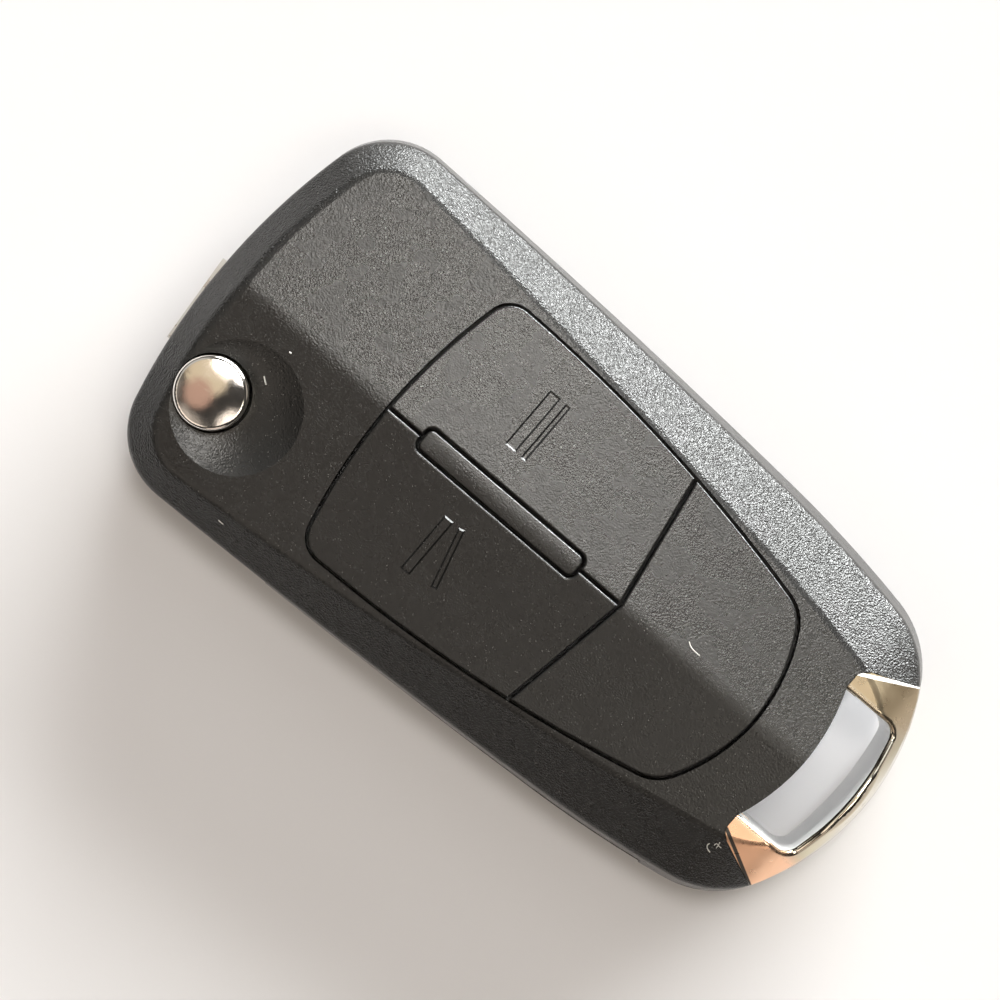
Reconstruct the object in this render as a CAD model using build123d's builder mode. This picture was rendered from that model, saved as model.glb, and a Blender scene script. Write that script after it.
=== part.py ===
from build123d import *
from math import cos, pi, radians, sin, sqrt, tan
import os

os.makedirs("parts", exist_ok=True)

# Folding car key remote. Units are millimetres.
# +X points to the head with the release button, +Y to the side the blade folds out of, +Z up.
# The underside lies on Z = 0 and the origin is the centre of the footprint.

# Case
overall_length = 74.17
case_width = 38.93
case_height = 14.0
parting_z = 5.8
belt_z = 9.3
hub_proud = 0.15
roof_angle = 5.0
crown_radius = 600.0
head_radius = 59.8
head_corner_radius = 7.0
ridge_radius = 8.0
crease_radius = 1.2
belt_radius = 0.7
bottom_radius = 3.2
wall = 1.6
floor = 1.6
roof_inset = 2.8
roof_step_z = 8.1
ceiling_z = 9.6
lip_height = 0.8
lip_thickness = 0.7
lip_gap = 0.06

# Outline stations: distance from the tail, and how much narrower than the widest section
join_from_tail, join_drop = 23.22, 1.76
flank_from_tail, flank_drop = 9.42, 3.5
corner_from_tail, corner_drop = 3.17, 7.9
side_from_tail, side_drop = 45.22, 0.6
head_overshoot = 0.03
# Draft of the flank at the same stations, from the parting plane up to the belt
head_draft = 0.35
side_draft = 0.52
join_draft = 0.75
flank_draft = 0.78
corner_draft = 0.65
tail_draft = 0.67
# Run of the sloping shoulder at the same stations, measured at shoulder_over above the ridge
shoulder_over = 0.2
head_run = 3.81
widest_run = 5.14
side_run = 5.78
join_run = 7.66
flank_run = 9.21
corner_run = 7.7
tail_run = 1.61
crease_head_radius = 29.6
crease_corner_radius = 3.0
corner_lead = 0.1

# Button field
seam = 0.25
edge_round = 0.2
pad_head_from_head = 19.35
pad_length = 41.85
pad_head_radius = 54.0
pad_half_head = 14.25
pad_half_mid = 13.15
pad_half_tail = 9.9
pad_tail_rise = 3.2
pad_head_corner = 2.6
pad_tail_corner = 4.0
split_from_head = 26.4
split_sweep = 2.15
bar_length = 17.4
bar_width = 2.0
bar_from_head = 4.15
bar_corner = 0.6
bar_peg_spacing = 11.6
panel_peg_y = 5.0
key_travel = 0.35
key_stem_radius = 1.5
slide_fit = 0.05
carrier_thickness = 0.8
carrier_rim = 1.2
carrier_gap = 0.1
key_gap = 0.5
switch_x_from_head = 10.8
lock_switch_y = -6.0
unlock_switch_y = 4.6
switch_size = 4.5
switch_corner = 0.4
switch_height = 1.5
plunger_radius = 1.0
plunger_show = 0.4
plunger_sink = 0.5
touch_gap = 0.05

# Blade and its hub
pivot_from_head = 7.05
pivot_y = 9.0
fold_tilt = 3.5
blade_offset = 5.5
blade_width = 8.0
blade_thickness = 2.5
blade_reach = 54.0
blade_start = 5.6
tang_width = 6.4
tip_length = 4.0
tip_width = 2.4
track_width = 2.2
track_depth = 0.7
track_swing = 1.5
track_pitch = 9.5
track_points = 14
track_from_hub = 3.0
track_runout = 1.0
tang_seat = 1.0
blade_gap = 0.2
hub_thickness = 5.2
hub_gap = 0.2
hub_neck = 14.0
hub_edge = 0.4
sweep_gap = 0.25
heel_y = -0.4
heel_flush = 1.0
hub_side_inset = 0.32
trunnion_radius = 4.0
trunnion_gap = 0.2
collar_radius = 5.0
collar_height = 1.0
turn_fit = 0.05
roll_pin_radius = 1.0
roll_pin_wall = 0.3
roll_pin_slot = 0.4
roll_pin_margin = 0.3
roll_pin_reach = 10.5

# Release button
cap_radius = 3.3
cap_top_z = 13.9
cap_round = 0.45
cap_dome = 0.25
cap_seat = 0.5
cap_hole_gap = 0.2
cap_bore_gap = 0.3
release_travel = 1.6
stem_flange = 1.2
ear_radius = 4.15
ear_width = 2.0
ear_gap = 0.1
spigot_radius = 1.6
spigot_height = 3.0
guide_radius = 1.2
guide_length = 1.4
spring_length = 3.4
spring_radius = 2.3
spring_wire = 0.4
spring_turns = 3.0
dish_radius = 6.2
dish_depth = 1.1
dish_from_head = 9.52
dish_y = 8.6

# Key ring loop
loop_gap = 0.06
arm_inner = 7.15
arm_end_from_tail = 8.77
arm_end_half = 8.9
arm_knee_from_tail = 7.92
arm_knee_half = 9.6
arm_end_radius = 0.9
ring_bar = 2.27
ring_corner_rise = 0.85
ring_corner_radius = 1.4
ring_edge_from_tail = 7.37
ring_edge_bulge = 1.35
rim_round = 0.35
ring_tongue_z = 4.0
ring_tongue_height = 3.6
crossbar_from_tail = 9.62
crossbar_width = 1.9

# Electronics
board_thickness = 0.8
board_z = 6.0
board_edge_gap = 0.6
cell_radius = 10.0
cell_height = 3.2
cell_can_height = 2.6
cell_from_tail = 29.47
cell_y = -4.3
cell_play = 0.2
cradle_wall = 0.9
cradle_height = 2.6
contact_sheet = 0.2
contact_width = 4.0
negative_reach = 5.0
positive_reach = 10.0
positive_foot = 3.0
positive_bend = 3.0
post_radius = 1.5
pin_radius = 0.7
pin_fit = 0.05
pin_height = 1.4
side_post_from_field = 7.0
side_post_from_side = 6.2
tail_post_from_tail = 15.72
tail_post_from_side = 8.6
inner_post_from_field = 6.5
inner_post_from_pivot = 4.2
head_post_from_head = 8.15
head_post_from_side = 8.4
chip_side = 6.0
chip_height = 1.0
chip_from_switch = 12.0
chip_y = -2.0
lead_count = 8
lead_width = 0.25
lead_reach = 0.8
lead_thickness = 0.15
crystal_length = 3.2
crystal_width = 2.5
crystal_height = 0.8
crystal_corner = 0.25
crystal_edge = 0.1
crystal_from_chip = 7.6
coil_length = 8.0
coil_side = 2.4
coil_wall = 0.45
coil_corner = 0.2
coil_cheek = 1.0
coil_from_head = 14.15
coil_from_side = 7.6

# Selection tolerances
near = 0.01
top_tilt_angle = 25.0

# Derived positions
head_x = overall_length / 2 - hub_proud
tail_x = -overall_length / 2
half_width = case_width / 2
shoulder_top_z = case_height + shoulder_over
pivot_x = head_x - pivot_from_head
dish_x = head_x - dish_from_head
pad_head_x = head_x - pad_head_from_head
pad_tail_x = pad_head_x - pad_length
split_x = pad_head_x - split_from_head
hub_low_z = parting_z - hub_thickness / 2
hub_high_z = parting_z + hub_thickness / 2
chamber_low_z = hub_low_z - hub_gap
chamber_high_z = hub_high_z + hub_gap
blade_low_z = parting_z - blade_thickness / 2
blade_high_z = parting_z + blade_thickness / 2
slot_low_z = blade_low_z - blade_gap
slot_high_z = blade_high_z + blade_gap
blade_half = blade_width / 2
channel_inner = blade_offset - blade_half - 2 * blade_gap
heel_radius = sqrt((head_x + hub_proud - pivot_x) ** 2 + (pivot_y - heel_y) ** 2)
sweep_radius = heel_radius + sweep_gap
neck_radius = sqrt(hub_neck**2 + (blade_offset + blade_half) ** 2) + sweep_gap
tilt = radians(fold_tilt)
key_low_z = ceiling_z + carrier_thickness + key_gap
board_top_z = board_z + board_thickness
plunger_top_z = board_top_z + switch_height + plunger_show
switch_x = pad_head_x - switch_x_from_head
cell_x = tail_x + cell_from_tail
cell_low_z = floor + contact_sheet
cell_high_z = cell_low_z + cell_height
far = 2 * overall_length


def arc_x(apex, radius, y):
    return apex - radius + sqrt(radius**2 - y**2)


def along(distance, offset):
    # Point measured along the folded blade from the pivot, and sideways from it to the case side
    x = pivot_x - distance * cos(tilt) - offset * sin(tilt)
    y = pivot_y - distance * sin(tilt) + offset * cos(tilt)
    return (x, y)


def case_ring(head_apex, radius, shrink, tail_apex, corner_x, corner_r):
    # One closed ring of the case, symmetric about the long axis
    head_half = half_width + head_overshoot - shrink[0]
    side = (tail_x + side_from_tail, half_width - side_drop - shrink[1])
    join = (tail_x + join_from_tail, half_width - join_drop - shrink[2])
    flank = (tail_x + flank_from_tail, half_width - flank_drop - shrink[3])
    corner_half = half_width - corner_drop - shrink[4]
    tail_depth = corner_x - tail_apex
    tail_radius = (corner_half**2 + tail_depth**2) / (2 * tail_depth)
    head_corner_x = arc_x(head_apex, radius, head_half)
    with BuildSketch() as ring:
        with BuildLine():
            ThreePointArc((head_corner_x, -head_half), (head_apex, 0), (head_corner_x, head_half))
            side_arc = ThreePointArc((head_corner_x, head_half), side, join)
            flank_arc = TangentArc(join, flank, tangent=side_arc % 1)
            # The corner arc leaves the flank and runs smoothly into the tail arc
            heading = flank_arc % 1
            inward = Vector(-heading.Y, heading.X)
            tail_centre = Vector(tail_apex + tail_radius, 0)
            apart = Vector(*flank) - tail_centre
            corner_radius = (tail_radius**2 - apart.dot(apart)) / (2 * (apart.dot(inward) + tail_radius))
            from_tail_centre = Vector(*flank) + inward * corner_radius - tail_centre
            meet = tail_centre + from_tail_centre * (tail_radius / (tail_radius - corner_radius))
            corner_arc = TangentArc(flank, meet, tangent=heading)
            ThreePointArc(meet, (tail_apex, 0), (meet.X, -meet.Y))
            mirror([side_arc, flank_arc, corner_arc], about=Plane.XZ)
        make_face()
        fillet(ring.vertices().sort_by(Axis.X)[-2:], corner_r)
    return ring.sketch


outline = case_ring(
    head_x,
    head_radius,
    (0, 0, 0, 0, 0),
    tail_x,
    tail_x + corner_from_tail,
    head_corner_radius,
)
belt_ring = case_ring(
    head_x - head_draft,
    head_radius,
    (head_draft, side_draft, join_draft, flank_draft, corner_draft),
    tail_x + tail_draft,
    tail_x + corner_from_tail + corner_lead,
    head_corner_radius,
)
shoulder_ring = case_ring(
    head_x - head_run,
    crease_head_radius,
    (widest_run, side_run, join_run, flank_run, corner_run),
    tail_x + tail_run,
    tail_x + corner_from_tail + corner_lead,
    crease_corner_radius,
)


def inset_outline(amount):
    with BuildSketch() as ring:
        add(outline)
        offset(amount=-amount, kind=Kind.INTERSECTION)
    return ring.sketch


def perimeter(part, low_z):
    # Edges between one upward face and a side, above low_z
    tops = [f for f in part.faces() if f.center().Z > low_z and f.normal_at(f.center()).Z > cos(radians(top_tilt_angle))]
    edges = []
    for face in tops:
        others = [f for f in tops if not f.is_same(face)]
        for edge in face.edges():
            if not any(edge.is_same(e) for other in others for e in other.edges()):
                edges.append(edge)
    return edges


# Outer form shared by the case, the key ring loop and the button field, so they sit flush
with BuildPart() as roof:
    with BuildSketch(Plane.YZ) as gable:
        with BuildLine():
            eave_z = case_height - case_width * tan(radians(roof_angle))
            Polyline(
                (-case_width, -case_height),
                (-case_width, eave_z),
                (0, case_height),
                (case_width, eave_z),
                (case_width, -case_height),
                close=True,
            )
        make_face()
        fillet(gable.vertices().sort_by(Axis.Y)[-1], ridge_radius)
    revolve(axis=Axis((0, 0, case_height - crown_radius), (0, 1, 0)), revolution_arc=360)
    with BuildSketch():
        add(outline)
    extrude(amount=2 * case_height, mode=Mode.INTERSECT)

with BuildPart() as form:
    with BuildSketch():
        add(outline)
    extrude(amount=parting_z)
    with BuildSketch(Plane.XY.offset(parting_z)):
        add(outline)
    with BuildSketch(Plane.XY.offset(belt_z)):
        add(belt_ring)
    with BuildSketch(Plane.XY.offset(shoulder_top_z)):
        add(shoulder_ring)
    loft(ruled=True)
    level = [e for e in form.edges() if abs((e @ 0).Z - (e @ 1).Z) < near]
    fillet([e for e in level if abs((e @ 0).Z - belt_z) < near], belt_radius)
    fillet(form.edges().group_by(Axis.Z)[0], bottom_radius)
    add(roof.part, mode=Mode.INTERSECT)
    fillet(perimeter(form.part, (belt_z + shoulder_top_z) / 2), crease_radius)
case_form = form.part


def slab(sketch, low_z, high_z):
    with BuildPart() as block:
        with BuildSketch(Plane.XY.offset(low_z)):
            add(sketch)
        extrude(amount=high_z - low_z)
    return block.part


def strip(points):
    with BuildSketch() as area:
        with BuildLine():
            Polyline(*points, close=True)
        make_face()
    return area.sketch


def blade_side(offset_from_pivot):
    # Region on the case side of a line that runs along the folded blade
    near_end = along(-far, offset_from_pivot)
    far_end = along(far, offset_from_pivot)
    return strip([near_end, far_end, along(far, far), along(-far, far)])


# Ring loop regions, seen from above
ring_edge_x = tail_x + ring_edge_from_tail
arm_end_x = tail_x + arm_end_from_tail
crossbar_x = tail_x + crossbar_from_tail

with BuildSketch() as loop_area:
    with BuildLine():
        Polyline(
            (tail_x + corner_from_tail, half_width - corner_drop),
            (tail_x + arm_knee_from_tail, arm_knee_half),
            (arm_end_x, arm_end_half),
            (arm_end_x, -arm_end_half),
            (tail_x + arm_knee_from_tail, -arm_knee_half),
            (tail_x + corner_from_tail, -half_width + corner_drop),
            (tail_x - wall, -half_width + corner_drop),
            (tail_x - wall, half_width - corner_drop),
            close=True,
        )
    make_face()
    fillet(loop_area.vertices().group_by(Axis.X)[-1], arm_end_radius)

with BuildSketch() as ring_opening:
    with BuildLine():
        opening_x = tail_x + ring_bar
        rise_x = opening_x + ring_corner_rise
        ThreePointArc((rise_x, -arm_inner), (opening_x, 0), (rise_x, arm_inner))
        Line((rise_x, arm_inner), (ring_edge_x + ring_edge_bulge, arm_inner))
        ThreePointArc(
            (ring_edge_x + ring_edge_bulge, arm_inner),
            (ring_edge_x, 0),
            (ring_edge_x + ring_edge_bulge, -arm_inner),
        )
        Line((ring_edge_x + ring_edge_bulge, -arm_inner), (rise_x, -arm_inner))
    make_face()
    fillet(ring_opening.vertices().group_by(Axis.X)[0], ring_corner_radius)

# The case runs up to this curve between the arms
with BuildSketch() as case_tail:
    with BuildLine():
        ThreePointArc(
            (ring_edge_x + ring_edge_bulge, arm_inner),
            (ring_edge_x, 0),
            (ring_edge_x + ring_edge_bulge, -arm_inner),
        )
        Line((ring_edge_x + ring_edge_bulge, -arm_inner), (0, -arm_inner))
        Line((0, -arm_inner), (0, arm_inner))
        Line((0, arm_inner), (ring_edge_x + ring_edge_bulge, arm_inner))
    make_face()

with BuildSketch() as ring_cutout:
    add(loop_area.sketch)
    offset(amount=loop_gap, kind=Kind.INTERSECTION)
    add(case_tail.sketch, mode=Mode.SUBTRACT)

with BuildSketch() as arms_area:
    add(loop_area.sketch)
    with Locations((ring_edge_x, 0)):
        Rectangle(4 * ring_edge_from_tail, 2 * arm_inner, align=(Align.MIN, Align.CENTER), mode=Mode.SUBTRACT)
    add(ring_opening.sketch, mode=Mode.SUBTRACT)

with BuildSketch() as crossbar:
    tongue_half = arm_end_half - arm_end_radius
    with Locations((crossbar_x, 0)):
        Rectangle(crossbar_width, 2 * tongue_half, align=(Align.MIN, Align.CENTER))
    for side in (1, -1):
        with Locations((arm_end_x - wall, side * tongue_half)):
            span = crossbar_x + crossbar_width - arm_end_x + wall
            width = tongue_half - arm_inner + loop_gap
            Rectangle(span, width, align=(Align.MIN, Align.MAX if side > 0 else Align.MIN))

with BuildPart() as loop:
    add(slab(arms_area.sketch, -wall, 2 * case_height))
    add(case_form, mode=Mode.INTERSECT)
    # Rounded upper edge round the opening
    upper = [e for e in loop.edges() if e.center().Z > belt_z and (e @ 0).Z > belt_z and (e @ 1).Z > belt_z]
    inner = [e for e in upper if abs(e.center().Y) < arm_inner + near]
    fillet([e for e in inner if opening_x - rim_round < e.center().X < arm_end_x - arm_end_radius], rim_round)
    add(slab(crossbar.sketch, ring_tongue_z, ring_tongue_z + ring_tongue_height))
loop.part.label = "key_ring_loop"
export_step(loop.part, "parts/key_ring_loop.step")

with BuildSketch() as tongue_pocket:
    add(crossbar.sketch)
    offset(amount=loop_gap, kind=Kind.INTERSECTION)

# Openings shared by both halves of the case
with BuildPart() as case_voids:
    # Room for the hub to swing, open to the head and the blade side
    with BuildSketch(Plane.XY.offset(chamber_low_z)):
        with Locations((pivot_x, pivot_y)):
            Circle(sweep_radius)
    extrude(amount=chamber_high_z - chamber_low_z)
    with BuildSketch(Plane.XY.offset(chamber_low_z)):
        with Locations((pivot_x, pivot_y)):
            Circle(neck_radius)
        add(blade_side(channel_inner), mode=Mode.INTERSECT)
    extrude(amount=chamber_high_z - chamber_low_z)
    with BuildSketch(Plane.XY.offset(chamber_low_z)):
        with Locations((pivot_x, heel_y - blade_gap)):
            Rectangle(far, far, align=(Align.MIN, Align.MIN))
    extrude(amount=chamber_high_z - chamber_low_z)
    # Slot for the folded blade
    with BuildSketch(Plane.XY.offset(slot_low_z)):
        slot_reach = blade_reach + 2 * blade_gap
        add(
            strip(
                [
                    along(0, channel_inner),
                    along(slot_reach, channel_inner),
                    along(slot_reach, far),
                    along(0, far),
                ]
            )
        )
    extrude(amount=slot_high_z - slot_low_z)
    add(slab(tongue_pocket.sketch, ring_tongue_z - loop_gap, ring_tongue_z + ring_tongue_height + loop_gap))
    add(slab(ring_cutout.sketch, -wall, 2 * case_height))
voids = case_voids.part

# Space for the electronics, away from the hub and the blade
hub_keepout = sweep_radius + wall - blade_gap
inner_tail_x = crossbar_x + crossbar_width + wall / 2


def electronics_room(inset):
    with BuildSketch() as room:
        add(inset_outline(inset))
        add(blade_side(channel_inner - wall + board_edge_gap), mode=Mode.SUBTRACT)
        with Locations((pivot_x, pivot_y)):
            Circle(hub_keepout, mode=Mode.SUBTRACT)
        with Locations((inner_tail_x, 0)):
            Rectangle(far, far, align=(Align.MAX, Align.CENTER), mode=Mode.SUBTRACT)
        with Locations((pivot_x, pivot_y)):
            Rectangle(far, far, align=(Align.MIN, Align.MIN), mode=Mode.SUBTRACT)
    return room.sketch


room_low = electronics_room(wall)
room_high = electronics_room(roof_inset)


def pad_plan(grow):
    # Button field, seen from above
    head_apex = pad_head_x + grow
    head_half = pad_half_head + grow
    shoulder_x = arc_x(head_apex, pad_head_radius + grow, head_half)
    tail_corner = (pad_tail_x + pad_tail_rise - grow, pad_half_tail + grow)
    middle_x = pad_head_x - pad_length / 2
    with BuildSketch() as plan:
        with BuildLine():
            ThreePointArc((shoulder_x, -head_half), (head_apex, 0), (shoulder_x, head_half))
            edge = ThreePointArc((shoulder_x, head_half), (middle_x, pad_half_mid + grow), tail_corner)
            ThreePointArc(tail_corner, (pad_tail_x - grow, 0), (tail_corner[0], -tail_corner[1]))
            mirror(edge, about=Plane.XZ)
        make_face()
        fillet(plan.vertices().group_by(Axis.X)[-1], pad_head_corner + grow)
        fillet(plan.vertices().group_by(Axis.X)[0], pad_tail_corner + grow)
    return plan.sketch


pad_field = pad_plan(0)
key_field = pad_plan(-seam)

bar_x = pad_head_x - bar_from_head - bar_length / 2


def split_region(shift):
    # Everything on the head side of the V-shaped seam
    slope = split_sweep / pad_half_mid
    reach = 2 * pad_half_mid
    return strip(
        [
            (split_x + shift, 0),
            (split_x + shift + slope * reach, reach),
            (far, reach),
            (far, -reach),
            (split_x + shift + slope * reach, -reach),
        ]
    )


with BuildSketch() as bar_area:
    with Locations((bar_x, 0)):
        RectangleRounded(bar_length, bar_width, bar_corner)

with BuildSketch() as bar_hole:
    with Locations((bar_x, 0)):
        RectangleRounded(bar_length + 2 * seam, bar_width + 2 * seam, bar_corner + seam)

with BuildSketch() as tail_area:
    add(key_field)
    add(split_region(-seam / 2), mode=Mode.SUBTRACT)


with BuildSketch() as key_area:
    add(key_field)
    add(split_region(seam / 2), mode=Mode.INTERSECT)
    with Locations((0, -seam / 2)):
        Rectangle(2 * far, far, align=(Align.CENTER, Align.MAX), mode=Mode.INTERSECT)
    add(bar_hole.sketch, mode=Mode.SUBTRACT)


def key_top(area):
    with BuildPart() as key:
        add(slab(area, key_low_z, 2 * case_height))
        add(case_form, mode=Mode.INTERSECT)
        fillet(perimeter(key.part, (key_low_z + case_height) / 2), edge_round)
    return key.part


lock_top = key_top(key_area.sketch)
unlock_top = mirror(lock_top, about=Plane.XZ)

keys = (
    ("lock_button", lock_top, lock_switch_y),
    ("unlock_button", unlock_top, unlock_switch_y),
)
for name, top, switch_y in keys:
    with BuildPart() as button:
        add(top)
        with BuildSketch(Plane.XY.offset(plunger_top_z + touch_gap)):
            with Locations((switch_x, switch_y)):
                Circle(key_stem_radius)
        extrude(amount=key_low_z - plunger_top_z - touch_gap)
    button.part.label = name
    export_step(button.part, "parts/" + name + ".step")
    with BuildPart() as switch:
        with BuildSketch(Plane.XY.offset(board_top_z)):
            with Locations((switch_x, switch_y)):
                RectangleRounded(switch_size, switch_size, switch_corner)
        extrude(amount=switch_height)
        with BuildSketch(Plane.XY.offset(board_top_z + switch_height)):
            with Locations((switch_x, switch_y)):
                Circle(plunger_radius + slide_fit)
        extrude(amount=-plunger_sink - key_travel - touch_gap, mode=Mode.SUBTRACT)
    switch_name = name.replace("button", "switch")
    switch.part.label = switch_name
    export_step(switch.part, "parts/" + switch_name + ".step")
    with BuildPart() as plunger:
        with BuildSketch(Plane.XY.offset(board_top_z + switch_height - plunger_sink)):
            with Locations((switch_x, switch_y)):
                Circle(plunger_radius)
        extrude(amount=plunger_sink + plunger_show)
    plunger_name = switch_name + "_plunger"
    plunger.part.label = plunger_name
    export_step(plunger.part, "parts/" + plunger_name + ".step")

carrier_top_z = ceiling_z + carrier_thickness
snap_points = [(bar_x - bar_peg_spacing / 2, 0), (bar_x + bar_peg_spacing / 2, 0)]
panel_peg_x = (pad_tail_x + split_x) / 2
panel_points = [(panel_peg_x, panel_peg_y), (panel_peg_x, -panel_peg_y)]


def seated_top(area, seat, points):
    # A fixed piece of the button field with its seat and two pegs in the carrier
    with BuildPart() as piece:
        add(key_top(area))
        with BuildSketch(Plane.XY.offset(carrier_top_z)):
            add(seat)
        extrude(amount=key_gap)
        with BuildSketch(Plane.XY.offset(ceiling_z)):
            with Locations(*points):
                Circle(pin_radius)
        extrude(amount=carrier_thickness)
    return piece.part


with BuildSketch() as panel_seat:
    add(pad_plan(-seam - edge_round))
    add(split_region(-seam / 2 - edge_round), mode=Mode.SUBTRACT)

divider_bar = seated_top(bar_area.sketch, bar_area.sketch, snap_points)
divider_bar.label = "divider_bar"
export_step(divider_bar, "parts/divider_bar.step")
tail_panel = seated_top(tail_area.sketch, panel_seat.sketch, panel_points)
tail_panel.label = "tail_panel"
export_step(tail_panel, "parts/tail_panel.step")

# Posts of the rear half that carry the board, and the legs above that hold it down
carrier_posts = [
    (pad_head_x - side_post_from_field, -half_width + side_post_from_side),
    (tail_x + tail_post_from_tail, -half_width + tail_post_from_side),
    (pad_head_x - inner_post_from_field, pivot_y - inner_post_from_pivot),
]
head_post = (head_x - head_post_from_head, -half_width + head_post_from_side)


def carrier_plan(gap):
    with BuildSketch() as plan:
        add(pad_plan(carrier_rim + gap))
        with Locations((pivot_x, pivot_y)):
            Circle(hub_keepout - gap, mode=Mode.SUBTRACT)
    return plan.sketch


carrier_area = carrier_plan(0)
carrier_pocket = carrier_plan(carrier_gap)

with BuildPart() as carrier:
    add(slab(carrier_area, ceiling_z, carrier_top_z))
    with BuildSketch(Plane.XY.offset(board_top_z + touch_gap)):
        with Locations(*carrier_posts):
            Circle(post_radius)
    extrude(amount=ceiling_z - board_top_z - touch_gap)
    with BuildSketch(Plane.XY.offset(board_top_z)):
        with Locations(*carrier_posts):
            Circle(pin_radius + pin_fit)
    extrude(amount=pin_height, mode=Mode.SUBTRACT)
    with BuildSketch(Plane.XY.offset(ceiling_z)):
        with Locations((switch_x, lock_switch_y), (switch_x, unlock_switch_y)):
            Circle(key_stem_radius + slide_fit)
        with Locations(*snap_points, *panel_points):
            Circle(pin_radius + pin_fit)
    extrude(amount=carrier_thickness, mode=Mode.SUBTRACT)
carrier.part.label = "pad_carrier"
export_step(carrier.part, "parts/pad_carrier.step")

# Rear half of the case
with BuildPart() as rear:
    with BuildSketch():
        Rectangle(far, far)
    extrude(amount=parting_z)
    add(case_form, mode=Mode.INTERSECT)
    add(slab(room_low, floor, parting_z), mode=Mode.SUBTRACT)
    with BuildSketch(Plane.XY.offset(floor)):
        with Locations((cell_x, cell_y)):
            Circle(cell_radius + cell_play + cradle_wall)
            Circle(cell_radius + cell_play, mode=Mode.SUBTRACT)
            Rectangle(far, contact_width + 2 * cell_play, mode=Mode.SUBTRACT)
    extrude(amount=cradle_height)
    with BuildSketch(Plane.XY.offset(floor)):
        with Locations(*carrier_posts, head_post):
            Circle(post_radius)
    extrude(amount=board_z - floor)
    with BuildSketch(Plane.XY.offset(board_z)):
        with Locations(*carrier_posts, head_post):
            Circle(pin_radius)
    extrude(amount=board_thickness + pin_height)
    add(voids, mode=Mode.SUBTRACT)
    with BuildSketch(Plane.XY.offset(chamber_low_z)):
        with Locations((pivot_x, pivot_y)):
            Circle(trunnion_radius + turn_fit)
    extrude(amount=floor - chamber_low_z, mode=Mode.SUBTRACT)
    # Lip that finds the front half
    with BuildSketch(Plane.XY.offset(parting_z)):
        add(inset_outline(wall - lip_thickness))
        add(inset_outline(wall), mode=Mode.SUBTRACT)
        with Locations((inner_tail_x, -half_width / 4)):
            Rectangle(pivot_x - inner_tail_x, half_width, align=(Align.MIN, Align.MAX), mode=Mode.INTERSECT)
    extrude(amount=lip_height)
rear.part.label = "rear_shell"
export_step(rear.part, "parts/rear_shell.step")

# Front half of the case
with BuildPart() as front:
    with BuildSketch(Plane.XY.offset(parting_z)):
        Rectangle(far, far)
    extrude(amount=case_height)
    add(case_form, mode=Mode.INTERSECT)
    add(slab(room_low, parting_z, roof_step_z), mode=Mode.SUBTRACT)
    add(slab(room_high, roof_step_z, ceiling_z), mode=Mode.SUBTRACT)
    add(slab(carrier_pocket, roof_step_z, carrier_top_z), mode=Mode.SUBTRACT)
    add(slab(pad_field, carrier_top_z, 2 * case_height), mode=Mode.SUBTRACT)
    # Leg over the post at the head
    with BuildSketch(Plane.XY.offset(board_top_z + touch_gap)):
        with Locations(head_post):
            Circle(post_radius)
    extrude(amount=ceiling_z - board_top_z - touch_gap)
    with BuildSketch(Plane.XY.offset(board_top_z)):
        with Locations(head_post):
            Circle(pin_radius + pin_fit)
    extrude(amount=pin_height + touch_gap, mode=Mode.SUBTRACT)
    # Rebate for the lip
    with BuildSketch(Plane.XY.offset(parting_z)):
        add(inset_outline(wall - lip_thickness - lip_gap))
        with Locations((inner_tail_x - lip_gap, -half_width / 4 + lip_gap)):
            span = pivot_x - inner_tail_x + 2 * lip_gap
            Rectangle(span, half_width, align=(Align.MIN, Align.MAX), mode=Mode.INTERSECT)
        add(inset_outline(wall + lip_gap), mode=Mode.SUBTRACT)
    extrude(amount=lip_height + lip_gap, mode=Mode.SUBTRACT)
    add(voids, mode=Mode.SUBTRACT)
    # Bearing for the hub collar and the hole for the release button
    with BuildSketch(Plane.XY.offset(parting_z)):
        with Locations((pivot_x, pivot_y)):
            Circle(collar_radius + turn_fit)
    extrude(amount=hub_high_z + collar_height + hub_gap - parting_z, mode=Mode.SUBTRACT)
    with BuildSketch(Plane.XY.offset(parting_z)):
        with Locations((pivot_x, pivot_y)):
            Circle(cap_radius + cap_hole_gap)
    extrude(amount=case_height, mode=Mode.SUBTRACT)
    # Shallow round dish that clears the thumb
    dish_sphere = (dish_radius**2 + dish_depth**2) / (2 * dish_depth)
    dish_surface_z = case_height - dish_y * tan(radians(roof_angle)) - dish_x**2 / (2 * crown_radius)
    dish_lift = dish_sphere - dish_depth
    with Locations(
        (
            dish_x + dish_lift * dish_x / crown_radius,
            dish_y + dish_lift * tan(radians(roof_angle)),
            dish_surface_z + dish_lift,
        )
    ):
        Sphere(dish_sphere, mode=Mode.SUBTRACT)
front.part.label = "front_shell"
export_step(front.part, "parts/front_shell.step")

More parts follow.
